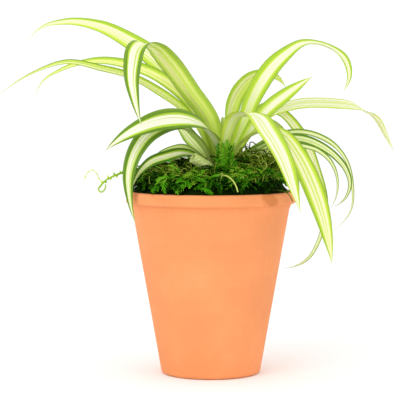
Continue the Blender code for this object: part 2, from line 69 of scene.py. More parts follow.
# Each leaf repeats its CAD midrib. "width" is its widest part, "roll" its turn about the
# midrib in degrees, and "belly" the place of the widest part, as a share of the length.
# "base" is its width at the crown, as a share of the widest, and a higher "taper" keeps it
# wide for longer before the tip. "dark" is how dark its green is, partly the leaf's own
# tone and partly painted shade, set higher on leaves that sit low, at the back or hang
# down, and "cream" is how yellow its pale stripe is, both from 0 to 1. "margins" are the
# green shares of its two half blades, and "pattern" draws other stripes than the leaf's own
# number would. A setting that changes along the leaf is a list of values at even steps
# from the base.
LEAVES = {
    "leaf_top_left": dict(
        width=16.5, roll=(-50, -65, -60, -60, -50), belly=0.36, taper=1.25,
        dark=0.15, cream=0.35, margins=(0.22, 0.38), midrib=[
            (3, 9, 153), (-3, 14, 175), (-13, 20, 195), (-33, 28, 217), (-57, 38, 235),
            (-81, 47, 247), (-107, 56, 251), (-127, 60, 246), (-135, 61, 238)]),
    "leaf_folded": dict(
        width=16.8, roll=(50, 50, 50, 50, 42, 12, 0, 0, 0), belly=0.5, taper=2.0, base=0.85,
        dark=(0.3, 0.35, 0.5, 0.85, 0.85), cream=(1.0, 1.0, 0.8, 0, 0),
        margins=((0.34, 0.38, 0.42, 0.44, 0.44), (0.5, 0.42, 0.2, 0.42, 0.42)), midrib=[
            (3.2, -2, 152), (-1, -4.5, 177), (-15.5, -9, 199), (-30, -18, 219), (-39.5, -29, 229),
            (-46, -37, 231), (-50.5, -44, 226.5), (-52.5, -49.5, 217.5), (-53, -54, 207),
            (-51, -58, 194), (-46.5, -62, 176.5)]),
    "leaf_far_left": dict(
        width=9, roll=(-50, -50, -55, -70, -40), belly=0.3, taper=1.0,
        dark=(0.2, 0.25, 0.6, 0.9, 0.9), cream=0.6, margins=(0.2, 0.34), midrib=[
            (-1, -1, 151), (-8, -3, 171), (-19, -7, 185), (-37, -14, 199), (-55, -20, 209),
            (-76, -27, 215), (-99, -33, 219), (-120, -38, 212), (-143, -41, 197)]),
    "leaf_mid_left": dict(
        width=13.5, roll=(-40, -55, -50, -60, -60), belly=0.28, taper=1.0,
        dark=0.3, cream=0.85, margins=(0.26, 0.46), midrib=[
            (1, 4, 152), (-6, 6, 175), (-15, 8, 192), (-33, 13, 207), (-58, 20, 218),
            (-87, 28, 221), (-109, 33, 215), (-123, 36, 206), (-128, 37, 195)]),
    "leaf_striped_left": dict(
        width=18, roll=(0, -40, -75, -88, -80),
        dark=0.85, cream=0, margins=(0.36, 0.46), midrib=[
            (6, -9, 151), (2, -17, 165), (-5, -24, 174), (-17, -30, 179), (-33, -36, 179),
            (-51, -41, 173), (-71, -49, 159)]),
    "leaf_rim_left": dict(
        width=13.5, roll=(0, -30, -70, -65, -55),
        dark=0.9, cream=0.05, margins=(0.5, 0.52), midrib=[
            (-1, -7, 149), (-6, -12, 161), (-16, -18, 172), (-28, -24, 175), (-42, -29, 170),
            (-51, -32, 159), (-56, -34, 144), (-56, -34, 128), (-52, -34, 109)]),
    "leaf_low_left": dict(
        width=10.5, roll=(-10, -35, -60, -60),
        dark=1.0, cream=0.25, margins=(0.44, 0.48), midrib=[
            (-1, -11, 147), (-9, -16, 153), (-20, -21, 156), (-31, -25, 154), (-42, -28, 150),
            (-50, -29, 142), (-54, -29, 133)]),
    "leaf_low_left_behind": dict(
        width=7, roll=(0, -30, -50, -50),
        dark=1.0, cream=0.45, margins=(0.48, 0.48), midrib=[
            (-3, 3, 149), (-11, 3, 156), (-20, 4, 160), (-30, 6, 158), (-39, 8, 153),
            (-45, 9, 145)]),
    "leaf_pale_left": dict(
        width=9, roll=(-30, -30, -30, -30),
        dark=0.55, cream=0.1, margins=(0.36, 0.4), midrib=[
            (-1, 8, 151), (-8, 18, 157), (-15, 31, 164), (-21, 46, 171), (-27, 60, 176)]),
    "leaf_centre_arch": dict(
        width=15, roll=(60, 60, 60, 60),
        dark=0.05, cream=0.6, margins=(0.36, 0.34), midrib=[
            (10, 11, 153), (12, 20, 173), (15, 30, 189), (21, 38, 201), (29, 44, 209),
            (38, 48, 212), (47, 50, 211), (55, 50, 203)]),
    "leaf_top_right": dict(
        width=14, roll=(50, 60, 60, 55, 35, 8, 2, 60, 85), taper=2.6,
        dark=0.12, cream=0.25, margins=(0.44, 0.38), midrib=[
            (14, 6, 153), (22, 10, 173), (29, 15, 192), (40, 21, 211), (52, 26, 224),
            (68, 31, 234), (85, 36, 232), (98, 39, 222), (101, 40, 210), (97, 40, 200)]),
    "leaf_pointed": dict(
        width=13, roll=(55, 65, 65), belly=0.5, taper=2.4,
        dark=0.08, cream=0.2, margins=(0.46, 0.44), midrib=[
            (18, -1, 154), (28, -4, 171), (40, -8, 186), (52, -11, 196), (70, -16, 209)]),
    "leaf_pale_right": dict(
        width=8, roll=(60, 60, 62, 66, 70, 75, 78, 80, 0, -55, -60), taper=4.0,
        dark=0.1, cream=0.12, margins=(0.02, 0.06), midrib=[
            (18, 10, 153), (29, 22, 171), (42, 36, 183), (59, 54, 189), (87, 80, 191),
            (117, 98, 186), (128, 104, 179), (136, 107, 166), (142, 109, 154)]),
    "leaf_back_right": dict(
        width=10.5, roll=(50, 60, 60, 60, 60),
        dark=(0.3, 0.4, 0.6, 0.85), cream=0.4, margins=(0.34, 0.32), midrib=[
            (17, 16, 153), (28, 38, 175), (41, 52, 187), (51, 58, 184), (67, 62, 167),
            (79, 62, 141), (85, 60, 111), (81, 55, 91), (71, 50, 75), (55, 47, 69)]),
    "leaf_front_arch": dict(
        width=20, roll=(20, 0, 0, 0), belly=0.5,
        dark=0.06, cream=0.1, margins=(0.3, 0.12), pattern=31, midrib=[
            (10.5, -14, 150), (12.8, -20, 167), (18, -28, 180), (29, -44, 182), (37, -62, 172),
            (46, -80, 156), (52, -96, 139), (57, -108, 121)]),
    "leaf_front_drop": dict(
        width=16.5, roll=(20, 20, 10, 10), belly=0.6, taper=2.0, base=0.35,
        dark=0.2, cream=0.45, margins=(0.26, 0.32), midrib=[
            (14, -7.5, 151), (23, -13, 165), (37, -23, 172), (48, -38, 168.5), (57.5, -50, 156),
            (66, -61, 138), (73, -69, 118), (80, -75, 85)]),
    "leaf_outer_right": dict(
        width=6, roll=(40, 40, 50, 50, 50),
        dark=0.75, cream=0.45, margins=(0.46, 0.44), midrib=[
            (19, 7, 151), (33, 13, 160), (50, 20, 168), (64, 25, 170), (78, 29, 167),
            (90, 32, 160), (99, 33, 148), (103, 33, 132), (102, 32, 113), (90, 30, 99)]),
    "leaf_middle_right": dict(
        width=9, roll=(40, 45, 60, 60),
        dark=1.0, cream=0.3, margins=(0.44, 0.42), midrib=[
            (19, 3, 151), (35, 5, 159), (51, 8, 165), (65, 12, 165), (79, 16, 160), (90, 19, 152),
            (97, 20, 143), (100, 20, 133), (97, 19, 123), (89, 17, 117)]),
    "leaf_inner_right": dict(
        width=5.5, roll=(30, 40, 50, 50),
        dark=0.95, cream=0.4, margins=(0.46, 0.46), midrib=[
            (18, -4, 150), (33, -5, 157), (49, -5, 162), (63, -4, 161), (76, -3, 157),
            (84, -3, 150), (89, -3, 138), (89, -4, 128), (85, -6, 118)]),
    "leaf_rear_centre": dict(
        width=13, roll=(0, 0, 0),
        dark=0.15, cream=0.35, margins=(0.38, 0.36), midrib=[
            (9, 17, 152), (12, 34, 168), (15, 58, 178), (14, 84, 176), (13, 101, 159),
            (11, 108, 131), (10, 109, 96)]),
    "leaf_rear_middle": dict(
        width=11, roll=(0, 0, 0),
        dark=0.45, cream=0.25, margins=(0.42, 0.4), midrib=[
            (3, 14, 151), (2, 30, 161), (2, 50, 167), (3, 72, 162), (0, 86, 144), (-1, 90, 117),
            (-2, 88, 93)]),
    "leaf_rear_left": dict(
        width=9, roll=(0, 0, 0),
        dark=0.65, cream=0.2, margins=(0.44, 0.42), midrib=[
            (-3, 10, 147), (-8, 24, 151), (-15, 40, 153), (-26, 56, 147), (-33, 66, 130),
            (-36, 70, 107), (-37, 68, 84)]),
    "leaf_rear_low_right": dict(
        width=10, roll=(0, 0, 0),
        dark=0.5, cream=0.4, margins=(0.38, 0.38), midrib=[
            (19, 13, 149), (30, 27, 154), (39, 42, 156), (44.5, 58, 147), (46, 68, 127),
            (45.5, 71, 107), (44, 69, 84)]),
    "leaf_rear_right": dict(
        width=12, roll=(0, 0, 0),
        dark=0.2, cream=0.3, margins=(0.36, 0.38), midrib=[
            (13, 20, 153), (21, 40, 168), (37, 58, 178), (49, 76, 173), (59, 88, 154),
            (66, 93, 131), (68, 94, 114)]),
}


def linear(code):
    """Linear red, green and blue of an sRGB hex colour."""
    values = [int(code[k:k + 2], 16) / 255.0 for k in (1, 3, 5)]
    return tuple(v / 12.92 if v <= 0.04045 else ((v + 0.055) / 1.055) ** 2.4 for v in values)


# ---------------------------------------------------------------- settings


def length_setting(name, description, value):
    return bpy.props.FloatProperty(
        name=name, description=description, default=value * MM, unit="LENGTH")


def colour_setting(name, description, code):
    return bpy.props.FloatVectorProperty(
        name=name, description=description, default=linear(code), subtype="COLOR")


class SpiderPlantSizes(bpy.types.PropertyGroup):
    """Sizes that a user would change."""

    blade_thickness: length_setting(
        "Blade thickness", "Thickness of a leaf beside its midrib", 0.45)
    margin_wave: length_setting(
        "Margin wave", "Height of the slow wave along a leaf's margin", 0.35)
    strand_radius: length_setting(
        "Strand radius", "Radius of a moss shoot with its tiny leaves", 0.5)
    frond_length: length_setting(
        "Frond length", "Mean length of one feathery moss frond", 17.0)
    frond_count: bpy.props.IntProperty(
        name="Fronds", description="Number of moss fronds in each layer", default=230)


class SpiderPlantColours(bpy.types.PropertyGroup):
    """Colours that a user would change."""

    terracotta: colour_setting("Terracotta", "Fired clay", "#e9935a")
    # The first green is the leaves' green in full light; the second is partly a deeper green of
    # their own and partly painted shade, for leaves that sit low, at the back or hang down.
    leaf_bright: colour_setting("Bright green", "Green stripe of a young leaf", "#9fc32a")
    leaf_deep_and_shaded: colour_setting("Deep green", "Green stripe of a mature leaf", "#406c0e")
    moss_fresh: colour_setting("Fresh moss", "Tips of fresh moss", "#52b012")


def sizes():
    return bpy.context.scene.spider_plant_sizes


def colours():
    return bpy.context.scene.spider_plant_colours


# ---------------------------------------------------------------- materials


def opaque(colour):
    """Linear red, green, blue and alpha of a hex code or of a linear colour."""
    return (*(linear(colour) if isinstance(colour, str) else colour), 1.0)


class MaterialNodes:
    """A new material, and short calls that each add one node and give its result."""

    def __init__(self, name, roughness, ior):
        self.material = bpy.data.materials.new(name)
        self.material.use_nodes = True
        self.tree = self.material.node_tree
        self.shader = self.tree.nodes["Principled BSDF"]
        self.set("Roughness", roughness)
        self.set("IOR", ior)

    def fill(self, socket, value):
        """Link a socket to a result, or set its plain value."""
        if isinstance(value, bpy.types.NodeSocket):
            self.tree.links.new(value, socket)
        else:
            socket.default_value = value

    def set(self, name, value):
        """Fill one input of the Principled shader."""
        self.fill(self.shader.inputs[name], value)

    def add(self, kind, sockets, result=0, **settings):
        """Add one node with its settings and inputs, and give one of its outputs."""
        made = self.tree.nodes.new("ShaderNode" + kind)
        for key, value in settings.items():
            setattr(made, key, value)
        for key, value in sockets.items():
            self.fill(made.inputs[key], value)
        return made.outputs[result]

    def attribute(self, name, result="Vector"):
        return self.add("Attribute", {}, result, attribute_name=name)

    def spot(self):
        """Place on the object, in metres."""
        return self.add("TexCoord", {}, "Object")

    def split(self, vector):
        """The three numbers of a vector."""
        return self.add("SeparateXYZ", {0: vector}).node.outputs

    def stretch(self, vector, factors):
        return self.add("VectorMath", {0: vector, 1: factors}, operation="MULTIPLY")

    def noise(self, vector, scale, detail, roughness=0.5):
        return self.add("TexNoise", {"Vector": vector, "Scale": scale, "Detail": detail,
                                     "Roughness": roughness}, "Fac")

    def math(self, operation, *values):
        return self.add("Math", dict(enumerate(values)), operation=operation)

    def rise(self, value, low, high, start=0.0, end=1.0, kind="LINEAR"):
        """A number that goes from start to end while the value goes from low to high."""
        return self.add("MapRange", {"Value": value, "From Min": low, "From Max": high,
                                     "To Min": start, "To Max": end}, interpolation_type=kind)

    def ease(self, value, low, high, start=0.0, end=1.0):
        """The same as rise, but it starts and ends softly."""
        return self.rise(value, low, high, start, end, "SMOOTHSTEP")

    def mix(self, amount, first, second):
        """A blend of two colours, each a result, a hex code or a linear colour."""
        pair = [colour if isinstance(colour, bpy.types.NodeSocket) else opaque(colour)
                for colour in (first, second)]
        return self.add("Mix", {0: amount, 6: pair[0], 7: pair[1]}, 2, data_type="RGBA")

    def ramp(self, value, stops):
        """A colour from a scale of (place, colour) stops."""
        result = self.add("ValToRGB", {"Fac": value}, "Color")
        marks = result.node.color_ramp.elements
        while len(marks) < len(stops):
            marks.new(0.5)
        for mark, (place, colour) in zip(marks, stops):
            mark.position = place
            mark.color = opaque(colour)
        return result

    def bump(self, height, strength, distance):
        """Fine relief in the shader, up to this distance high."""
        self.set("Normal", self.add("Bump", {"Height": height, "Strength": strength,
                                             "Distance": distance * MM}))


def leaf_material():
    """Variegated leaf, living: a waxy green and cream strap that lets light through.

    The wax gives a soft satin sheen, and the parallel veins give fine lengthwise ribs.
    """
    nodes = MaterialNodes("spider_plant_leaf_variegated", 0.42, 1.42)
    across, along, underside = nodes.split(nodes.attribute("blade"))
    dark, cream, edge = nodes.split(nodes.attribute("tone"))
    # the pattern is drawn across and along the blade, and differs from leaf to leaf
    lanes = nodes.add("CombineXYZ",
                      {0: across, 1: along, 2: nodes.attribute("leaf_number", "Fac")})
    lines = nodes.noise(nodes.stretch(lanes, (4.6, 0.5, 3.7)), 1.0, 1.0)
    # veins 0.5 mm apart on a blade of 15 mm: 15 to each half
    veins = nodes.noise(nodes.stretch(lanes, (15.0, 1.5, 3.7)), 1.0, 2.0)
    # depth is how far inside the green margin a point is, in shares of the half blade
    wobble = nodes.math("MULTIPLY_ADD", veins, 0.24, -0.24)
    depth = nodes.math("ADD", edge, nodes.math("MULTIPLY_ADD", lines, 0.24, wobble))
    green = nodes.ease(depth, -0.03, 0.05)
    # a yellow fringe and a few yellow lines cross the pale middle
    fringe = nodes.ease(depth, -0.24, -0.10)
    stripe = nodes.math("MAXIMUM", fringe, nodes.ease(lines, 0.50, 0.57, end=0.8))
    pale = nodes.mix(cream, "#e8e6d2", "#dfe384")
    # dark draws these colours towards their deeper greens: partly the leaf's own tone, partly
    # painted shade on leaves that sit low, at the back or hang down
    yellow = nodes.mix(dark, "#c2d83e", "#a9c62e")
    margin = nodes.mix(dark, colours().leaf_bright, colours().leaf_deep_and_shaded)
    # the outermost margin is a little darker and greyer
    rimmed = nodes.mix(nodes.ease(depth, 0.16, 0.46, end=0.4), margin, "#64902c")
    # a dark blade has fewer yellow streaks in its green
    streak = nodes.math("MULTIPLY", nodes.rise(veins, 0.42, 0.68, end=0.5),
                        nodes.math("MULTIPLY_ADD", dark, -0.75, 1.0))
    upper = nodes.mix(green, nodes.mix(stripe, pale, yellow),
                      nodes.mix(streak, rimmed, yellow))
    # towards the base a bright blade turns lime, and a dark one stays darker there, partly by
    # painted shade
    sheath = nodes.mix(dark, "#c6e03c", "#93ad48")
    amount = nodes.math("MULTIPLY", nodes.ease(along, 0.05, 0.45, 0.8, 0.0),
                        nodes.math("MULTIPLY_ADD", green, -0.35, 0.75))
    based = nodes.mix(amount, upper, sheath)
    # the underside is paler: partly its own paler tint, and partly a painted brightening against
    # the shade it gets from facing down
    nodes.set("Base Color", nodes.mix(nodes.math("MULTIPLY", underside, 0.2), based, "#cfe070"))
    nodes.bump(veins, 0.2, 0.4)
    nodes.set("Roughness", nodes.rise(veins, 0.0, 1.0, 0.36, 0.54))
    nodes.set("Specular IOR Level", 0.35)
    nodes.set("Subsurface Weight", 0.15)
    nodes.set("Subsurface Radius", (0.8, 1.0, 0.3))
    nodes.set("Subsurface Scale", 1.0 * MM)
    return nodes.material


def moss_material(name, stops):
    """Moss shoots, living: colour changes from strand to strand, and painted shade darkens each
    shoot towards its base.
    """
    nodes = MaterialNodes(name, 0.75, 1.4)
    shade, along = nodes.split(nodes.attribute("strand"))[:2]
    spot = nodes.spot()
    # tiny leaves are 0.3 mm apart along a shoot; drawn 0.8 mm apart so that they show
    grain = nodes.noise(spot, 1250.0, 1.0)
    level = nodes.math("MULTIPLY_ADD", grain, 0.45, shade)
    level = nodes.math("MULTIPLY_ADD", nodes.noise(spot, 90.0, 2.0), 0.5, level)
    # painted shade: a shoot is darker at its base, under the shoots above, and lighter towards its
    # tip
    level = nodes.math("MULTIPLY_ADD", along, 0.30, level)
    nodes.set("Base Color", nodes.ramp(nodes.rise(level, 0.45, 1.38), stops))
    nodes.bump(grain, 0.8, 0.5)
    nodes.set("Specular IOR Level", 0.05)
    return nodes.material


def terracotta_material():
    """Terracotta, turned and fired: dry, porous clay with faint turning rings.

    The pores keep it matte; the clay is mottled paler and darker, and the brown marks near the rim
    are partly stains and partly a painted shadow.
    """
    nodes = MaterialNodes("terracotta_fired", 0.82, 1.5)
    spot = nodes.spot()
    clay = colours().terracotta
    base = nodes.ramp(nodes.noise(spot, 28.0, 4.0, 0.55), [
        (0.25, [part * 0.93 for part in clay]), (0.5, clay),
        (0.75, [min(1.0, part * 1.10 + 0.01) for part in clay])])
    rings = nodes.noise(nodes.stretch(spot, (6.0, 6.0, 420.0)), 1.0, 3.0)
    lined = nodes.mix(nodes.rise(rings, 0.3, 0.7, end=0.10), base, "#dd7f47")
    # clay grit is 0.1 to 0.3 mm; drawn 0.9 mm so that it shows
    grit = nodes.noise(spot, 1100.0, 2.0)
    flecked = nodes.mix(nodes.rise(grit, 0.66, 0.74, end=0.35), lined, "#c46a3a")
    # brown patches in the top 7 mm, strongest at the rim, and brown blots at set places on the
    # rim; the blot at the left front is a painted shadow of the leaf that hangs over the rim there
    high = nodes.rise(nodes.split(spot)[2], (POT_HEIGHT - 7.0) * MM, (POT_HEIGHT - 0.5) * MM)
    damp = nodes.noise(spot, 42.0, 3.0, 0.7)
    stain_and_shadow = nodes.math("MULTIPLY", high, nodes.rise(damp, 0.56, 0.68, end=0.75))
    # the blots: one is a painted shadow of the leaf over the left front of the rim, the others are
    # brown marks
    for x, y, size in RIM_STAINS_AND_SHADOW:
        centre = (x * MM, y * MM, (POT_HEIGHT - 2.5) * MM)
        away = nodes.add("VectorMath", {0: spot, 1: centre}, "Value", operation="DISTANCE")
        ragged = nodes.math("MULTIPLY_ADD", damp, 0.030, away)
        blot = nodes.ease(ragged, (size + 13.0) * MM, (size + 17.0) * MM, 0.65, 0.0)
        stain_and_shadow = nodes.math("MAXIMUM", stain_and_shadow, blot)
    nodes.set("Base Color", nodes.mix(stain_and_shadow, flecked, "#c4702f"))
    nodes.bump(nodes.math("MULTIPLY_ADD", rings, 0.6, grit), 0.25, 0.3)
    return nodes.material


def soil_material():
    """Peat and bark mix, damp: dark crumbs, with painted shade in the gaps between them."""
    nodes = MaterialNodes("potting_mix_damp", 0.95, 1.4)
    # crumbs are 1 to 3 mm across
    crumbs = nodes.add("TexVoronoi", {"Vector": nodes.spot(), "Scale": 500.0}, "Distance")
    # painted shade: each crumb darkens towards its edge, where the gaps are
    nodes.set("Base Color", nodes.ramp(crumbs, [(0.1, "#3a2a1c"), (0.7, "#140d08")]))
    nodes.bump(crumbs, 0.9, 1.0)
    return nodes.material


def stem_material():
    """Leaf base and rootstock, cut and living: pale, fibrous and faintly green."""
    nodes = MaterialNodes("pale_stem_fibrous", 0.5, 1.42)
    # fibres are about 1 mm apart
    fibres = nodes.noise(nodes.stretch(nodes.spot(), (300.0, 900.0, 900.0)), 1.0, 3.0)
    nodes.set("Base Color", nodes.ramp(fibres, [(0.3, "#a3bb52"), (0.5, "#c3d27a"),
                                                (0.72, "#e6ecb0")]))
    nodes.bump(fibres, 0.25, 0.3)
    return nodes.material


# ---------------------------------------------------------------- geometry


def unit(vectors):
    """Vectors, or one vector, at length one."""
    return vectors / np.maximum(np.linalg.norm(vectors, axis=-1, keepdims=True), 1e-9)


def smooth_curve(points, count):
    """Evenly spaced points on a smooth curve through the given ones, and its length."""
    knots = np.array(points, dtype=float)
    lengths = np.linalg.norm(np.diff(knots, axis=0), axis=1)
    stations = np.concatenate([[0.0], np.cumsum(lengths)])
    slopes = np.diff(knots, axis=0) / lengths[:, None]
    tangents = np.zeros_like(knots)
    for k in range(1, len(knots) - 1):
        before, after = lengths[k - 1], lengths[k]
        tangents[k] = (slopes[k - 1] * after + slopes[k] * before) / (before + after)
    tangents[0] = 2.0 * slopes[0] - tangents[1]
    tangents[-1] = 2.0 * slopes[-1] - tangents[-2]
    where = np.linspace(0.0, stations[-1], 400)
    k = np.clip(np.searchsorted(stations, where) - 1, 0, len(knots) - 2)
    span = lengths[k, None]
    s = (where - stations[k])[:, None] / span
    fine = ((2 * s**3 - 3 * s**2 + 1) * knots[k] + (3 * s**2 - 2 * s**3) * knots[k + 1]
            + (s**3 - 2 * s**2 + s) * span * tangents[k] + (s**3 - s**2) * span * tangents[k + 1])
    run = np.concatenate([[0.0], np.cumsum(np.linalg.norm(np.diff(fine, axis=0), axis=1))])
    even = np.linspace(0.0, run[-1], count)
    line = np.stack([np.interp(even, run, fine[:, axis]) for axis in range(3)], axis=1)
    return line, run[-1]


def change_along(value, steps):
    """A leaf's setting at each step: one value, or values at even steps from the base."""
    values = np.atleast_1d(value)
    return np.interp(steps, np.linspace(0.0, 1.0, len(values)), values)


def blade_frames(midrib, roll):
    """The blade's upward and sideways directions along the midrib."""
    count = len(midrib)
    along = unit(np.gradient(midrib, axis=0))
    outward = unit((midrib[count // 4] - midrib[0])[:2])
    facing = np.zeros_like(along)
    start = np.array([-outward[0], -outward[1], 0.3])
    facing[0] = unit(start - along[0] * (start @ along[0]))
    for k in range(1, count):
        facing[k] = unit(facing[k - 1] - along[k] * (facing[k - 1] @ along[k]))
    angle = np.radians(change_along(roll, np.linspace(0.0, 1.0, count)))
    # the roll changes softly, over the six points before and after
    angle = np.convolve(np.pad(angle, 6, mode="edge"), np.ones(13) / 13.0, mode="valid")
    angle = angle[:, None]
    upward = facing * np.cos(angle) + np.cross(along, facing) * np.sin(angle)
    return upward, np.cross(along, upward)


def ring_faces(tubes, count, ring):
    """Side faces and end faces of closed tubes, each of count rings of ring points."""
    index = np.arange(tubes * count * ring).reshape(tubes, count, ring)
    turn = np.roll(index, -1, axis=2)
    quads = np.stack([index[:, :-1], turn[:, :-1], turn[:, 1:], index[:, 1:]], axis=-1)
    return quads.reshape(-1, 4), np.concatenate([index[:, 0, ::-1], index[:, -1]])


def circle(steps):
    """Points of a circle with radius one."""
    turns = 2.0 * math.pi * np.arange(steps) / steps
    return np.stack([np.cos(turns), np.sin(turns)], axis=-1)


def mesh_object(name, points, faces, made_of, layers=None, uvs=None):
    """Make a smooth mesh object; points are in millimetres.

    faces is a list of integer arrays, each of faces with the same corner count.
    layers are vectors for each point, and uvs is one place for each face corner.
    """
    mesh = bpy.data.meshes.new(name)
    points = np.asarray(points, dtype=np.float32) * MM
    mesh.vertices.add(len(points))
    mesh.vertices.foreach_set("co", points.ravel())
    corners = np.concatenate([group.ravel() for group in faces]).astype(np.int32)
    totals = np.concatenate([np.full(len(g), g.shape[1]) for g in faces])
    starts = np.concatenate([[0], np.cumsum(totals)[:-1]]).astype(np.int32)
    mesh.loops.add(len(corners))
    mesh.loops.foreach_set("vertex_index", corners)
    mesh.polygons.add(len(totals))
    mesh.polygons.foreach_set("loop_start", starts)
    mesh.update(calc_edges=True)
    for layer, values in (layers or {}).items():
        made = mesh.attributes.new(layer, "FLOAT_VECTOR", "POINT")
        made.data.foreach_set("vector", np.asarray(values, dtype=np.float32).ravel())
    if uvs is not None:
        flat = mesh.uv_layers.new(name="OFBake")
        flat.data.foreach_set("uv", np.asarray(uvs, dtype=np.float32).ravel())
    mesh.validate()
    mesh.shade_smooth()
    mesh.materials.append(made_of)
    item = bpy.data.objects.new(name, mesh)
    bpy.context.scene.collection.objects.link(item)
    return item


def finish_piece(item, replaced=()):
    """Put the piece on the object's one body and hide the CAD parts that it replaces."""
    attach(item, "root")
    if replaced:
        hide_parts(*replaced)


def dress(node, made_of):
    """Give a CAD object that stays its finish."""
    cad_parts[node].data.materials.clear()
    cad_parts[node].data.materials.append(made_of)


# ---------------------------------------------------------------- leaves

BLADE_STEPS = 17  # points across the upper side of a leaf
BLADE_RING = 2 * BLADE_STEPS - 2  # points all round it, where the sides share the margins
ACROSS = np.linspace(-1.0, 1.0, BLADE_STEPS)
POINT_SPACING = 1.8  # along a leaf
WAVE_LENGTH = 26.0  # of the slow wave along a margin
KEEL = 0.5  # how far the midrib stands out below
LEAST_HALF_WIDTH = 0.22  # at the very tip


def half_widths(steps, leaf):
    """Half the blade's width: it swells from the base to the belly, then tapers."""
    belly = leaf.get("belly", 0.4)
    taper = leaf.get("taper", 1.8)
    base = leaf.get("base", 0.6)
    rise = np.clip(steps / belly, 0.0, 1.0)
    swell = base + (1.0 - base) * rise * rise * (3.0 - 2.0 * rise)
    fall = 1.0 - np.clip((steps - belly) / (1.0 - belly), 0.0, 1.0) ** taper
    return np.maximum(leaf["width"] / 2.0 * np.where(steps < belly, swell, fall),
                      LEAST_HALF_WIDTH)


def blade_points(leaf, midrib, length, steps, seed):
    """Rings of points round a folded channel that opens out, thin at its margins."""
    upward, sideways = blade_frames(midrib, leaf["roll"])
    half = half_widths(steps, leaf)
    # each half stands up by 45 degrees at the base, and by 15 from halfway along
    fold = np.radians(45.0 - 30.0 * np.clip(steps / 0.5, 0.0, 1.0))
    left, right = (np.array([
        noise.noise(Vector((s * length / WAVE_LENGTH, seed * 3.7, row))) for s in steps])
        for row in (0.0, 9.0))
    top = np.zeros((len(steps), BLADE_STEPS, 3))
    for col, u in enumerate(ACROSS):
        # the fold is sharp at the midrib and relaxes towards the margin
        share = abs(u)
        angle = fold * (1.15 - 0.45 * share)
        ripple = (left if u < 0 else right) * share**2 * sizes().margin_wave / MM * 3.0
        reach = half * np.cos(angle) * u
        lift = half * np.sin(angle) * share + ripple * np.minimum(half / 4.0, 1.0)
        top[:, col] = midrib + sideways * reach[:, None] + upward * lift[:, None]
    inside = ACROSS[1:-1]
    body = sizes().blade_thickness / MM * (1.0 - 0.75 * np.abs(inside) ** 1.5)
    keel = KEEL * np.exp(-(inside / 0.12) ** 2)
    depth = (body + keel)[None, :] * np.minimum(half / 3.0, 1.0)[:, None]
    low = top[:, 1:-1] - upward[:, None, :] * depth[:, :, None]
    return np.concatenate([top, low[:, ::-1]], axis=1).reshape(-1, 3)


def blade_layers(leaf, steps, seed):
    """What the leaf material reads at each point: its place, its tone and its leaf."""
    count = len(steps)
    across = np.concatenate([ACROSS, ACROSS[1:-1][::-1]])
    underside = np.concatenate([np.zeros(BLADE_STEPS), np.ones(BLADE_STEPS - 2)])
    blade = np.stack([np.tile(across, count), np.repeat(steps, BLADE_RING),
                      np.tile(underside, count)], axis=-1)
    first, second = (change_along(margin, steps)[:, None] for margin in leaf["margins"])
    share = np.where(across[None, :] < 0.0, first, second)
    # the green narrows to nothing at the midrib, however wide its share is
    edge = np.abs(across) + share * (1.0 - np.exp(-np.abs(across) * 6.0)) - 1.0
    dark, cream = (np.repeat(change_along(leaf[key], steps), BLADE_RING)
                   for key in ("dark", "cream"))
    return {"blade": blade, "tone": np.stack([dark, cream, edge.reshape(-1)], axis=-1),
            "leaf_number": np.full((count * BLADE_RING, 3), float(seed))}


def blade_uvs(count):
    """Flat layout for baking: the upper side on the left half, the lower on the right."""
    last = BLADE_STEPS - 1
    first = np.arange(BLADE_RING)
    u_here, u_next = (np.where(first < last, (at / last) * 0.48, 0.52 + (at - last) / last * 0.46)
                      for at in (first, first + 1))
    v = np.linspace(0.01, 0.99, count)
    grid = np.zeros((count - 1, BLADE_RING, 4, 2))
    corners = ((u_here, v[:-1]), (u_here, v[1:]), (u_next, v[1:]), (u_next, v[:-1]))
    for corner, (u, rows) in enumerate(corners):
        grid[:, :, corner, 0] = u
        grid[:, :, corner, 1] = rows[:, None]
    # the two tiny ends lie in the gap between the halves
    ends = np.stack([np.tile(np.linspace(0.49, 0.51, BLADE_RING), 2),
                     np.repeat([0.002, 0.998], BLADE_RING)], axis=-1)
    return np.concatenate([grid.reshape(-1, 2), ends])


def leaf_piece(name, leaf, seed, made_of):
    """One strap-shaped leaf along its midrib."""
    count = int(smooth_curve(leaf["midrib"], 2)[1] / POINT_SPACING)
    midrib, length = smooth_curve(leaf["midrib"], count)
    steps = np.linspace(0.0, 1.0, count)
    quads, ends = ring_faces(1, count, BLADE_RING)
    item = mesh_object(name.replace("leaf_", "blade_"),
                       blade_points(leaf, midrib, length, steps, seed),
                       [quads[:, [0, 3, 2, 1]], ends[:, ::-1]], made_of,
                       blade_layers(leaf, steps, seed), blade_uvs(count))
    finish_piece(item, [name])


# ---------------------------------------------------------------- strands


def tube_points(paths, radii, sides):
    """Points of tubes; paths holds tubes x points x 3, and radii tubes x points."""
    along = unit(np.gradient(paths, axis=1))
    guide = np.array([0.31, -0.22, 0.92])
    side = unit(np.cross(along, guide))
    up = np.cross(side, along)
    swing = (side[:, :, None] * circle(sides)[None, None, :, :1]
             + up[:, :, None] * circle(sides)[None, None, :, 1:])
    return (paths[:, :, None] + swing * radii[:, :, None, None]).reshape(-1, 3)


def strand_uvs(strands, count, sides):
    """A small cell of the bake image for each strand, its ends in a corner of it."""
    cells = int(math.ceil(math.sqrt(strands)))
    number = np.arange(strands)
    low = np.stack([number % cells, number // cells], axis=-1) / cells
    size = 0.9 / cells
    u = np.arange(sides) / sides
    v = np.linspace(0.0, 1.0, count)
    grid = np.zeros((strands, count - 1, sides, 4, 2))
    grid += low[:, None, None, None]
    for corner, (du, dv) in enumerate(((0, 0), (1, 0), (1, 1), (0, 1))):
        grid[..., corner, 0] += size * (u + du / sides)
        grid[..., corner, 1] += size * v[dv:count - 1 + dv, None]
    ends = np.repeat(low[:, None], sides, axis=1) + size * 0.98
    return grid.reshape(-1, 2), np.concatenate([ends, ends]).reshape(-1, 2)


